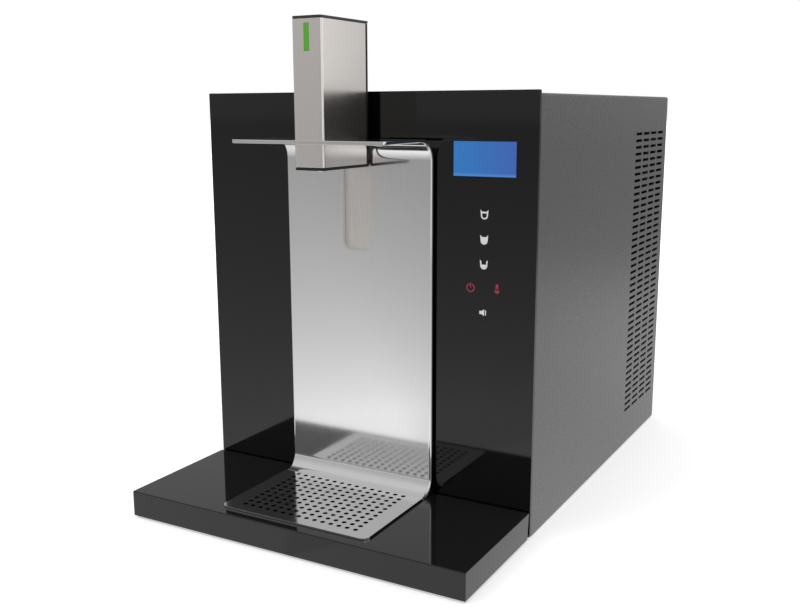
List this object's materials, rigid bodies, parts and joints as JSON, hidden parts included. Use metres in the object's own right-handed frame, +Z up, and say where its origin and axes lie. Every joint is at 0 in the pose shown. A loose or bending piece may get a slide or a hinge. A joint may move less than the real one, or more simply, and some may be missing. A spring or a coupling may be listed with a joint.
{
  "type": "countertop water dispenser",
  "caption": "Countertop water cooler: deep case with a glass front, bent splash sheet with cup hood, drip tray base and a sliding dispensing head.",
  "frame": {"origin": "on the counter, at the middle of the footprint", "axes": "+Z up, front towards -Y, +X to the right seen from the front"},
  "size_m": [0.35, 0.5622, 0.458],
  "materials": {
    "painted_steel": "satin grey powder coat on sheet steel",
    "black_glass": "tempered glass, printed black behind",
    "display_glass": "clear window lit blue from behind",
    "galvanised_steel": "zinc coated sheet",
    "black_painted_steel": "black powder coat",
    "polished_stainless": "bright rolled stainless sheet",
    "brushed_stainless": "fine vertical brushing",
    "black_rubber": "matt",
    "black_gloss_plastic": "high gloss moulded ABS",
    "black_matt_plastic": "fine moulded texture",
    "dark_cap_plastic": "satin moulded ABS",
    "white_plastic": "moulded acetal",
    "green_light": "lit acrylic bar",
    "green_board": "epoxy board with solder mask",
    "chrome_nozzle": "plated brass",
    "ground_rod": "ground and hard chromed",
    "black_iron": "black enamelled steel can",
    "copper": "drawn copper tube",
    "dark_fins": "black coated fins",
    "foam": "expanded foam",
    "stainless_vessel": "deep drawn",
    "blue_hose": "food grade tube"
  },
  "bodies": {
    "cabinet": {"chassis_tray": "galvanised_steel", "case_shell": "painted_steel", "front_panel": "black_glass", "display_window": "display_glass", "front_bulkhead": "galvanised_steel", "rear_panel": "black_painted_steel", "foot_rear_right": "black_rubber", "foot_rear_left": "black_rubber", "foot_front_right": "black_rubber", "foot_front_left": "black_rubber", "dock_bracket": "galvanised_steel", "base_housing": "black_gloss_plastic", "base_floor": "black_matt_plastic", "splash_sheet": "polished_stainless", "splash_carrier": "black_matt_plastic", "guide_rod_left": "ground_rod", "guide_rod_right": "ground_rod", "rod_bracket": "black_matt_plastic", "lcd_module": "green_board", "touch_board": "green_board", "control_board": "green_board", "power_supply": "galvanised_steel", "mains_inlet": "black_matt_plastic", "water_inlet_fitting": "white_plastic", "drain_plug": "black_matt_plastic", "tank_insulation": "foam", "cold_tank": "stainless_vessel", "evaporator_coil": "copper", "tank_lid": "foam", "compressor": "black_iron", "condenser_core": "dark_fins", "fan_shroud": "galvanised_steel", "fan_motor": "black_matt_plastic", "filter_drier": "copper", "discharge_line": "copper", "liquid_line": "copper", "suction_line": "copper", "water_pump": "black_matt_plastic", "inlet_valve": "white_plastic", "dispense_valve": "white_plastic", "pump_hose": "blue_hose", "tank_hose": "blue_hose", "chilled_hose": "blue_hose", "head_hose": "white_plastic"},
    "dispensing_head": {"head_shell": "brushed_stainless", "head_cap": "dark_cap_plastic", "head_back_cover": "black_matt_plastic", "head_base_plate": "black_matt_plastic", "nozzle": "chrome_nozzle", "light_guide": "green_light", "head_board": "green_board", "head_neck": "galvanised_steel", "head_tube": "white_plastic", "carriage": "black_matt_plastic", "slot_shutter": "brushed_stainless"},
    "pan": {"drip_pan": "black_matt_plastic"},
    "grille": {"drip_grille": "polished_stainless"},
    "fan": {"fan_rotor": "black_matt_plastic"},
    "rocker": {"switch_rocker": "black_gloss_plastic"}
  },
  "joints": [
    {"name": "head_slide", "type": "slide", "parent": "cabinet", "child": "dispensing_head", "axis": [0, 0, 1], "range_m": [-0.075, 0], "deforming": ["head_hose"]},
    {"name": "pan_lift", "type": "slide", "parent": "cabinet", "child": "pan", "axis": [0, 0, 1], "range_m": [0, 0.06]},
    {"name": "grille_lift", "type": "slide", "parent": "pan", "child": "grille", "axis": [0, 0, 1], "range_m": [0, 0.06]},
    {"name": "fan_spin", "type": "hinge", "parent": "cabinet", "child": "fan", "pos_m": [0.1235, 0.197, 0.2], "axis": [1, 0, 0], "continuous": true},
    {"name": "switch_rock", "type": "hinge", "parent": "cabinet", "child": "rocker", "pos_m": [-0.096, 0.2621, 0.06], "axis": [1, 0, 0], "range_deg": [-24, 0]}
  ]
}
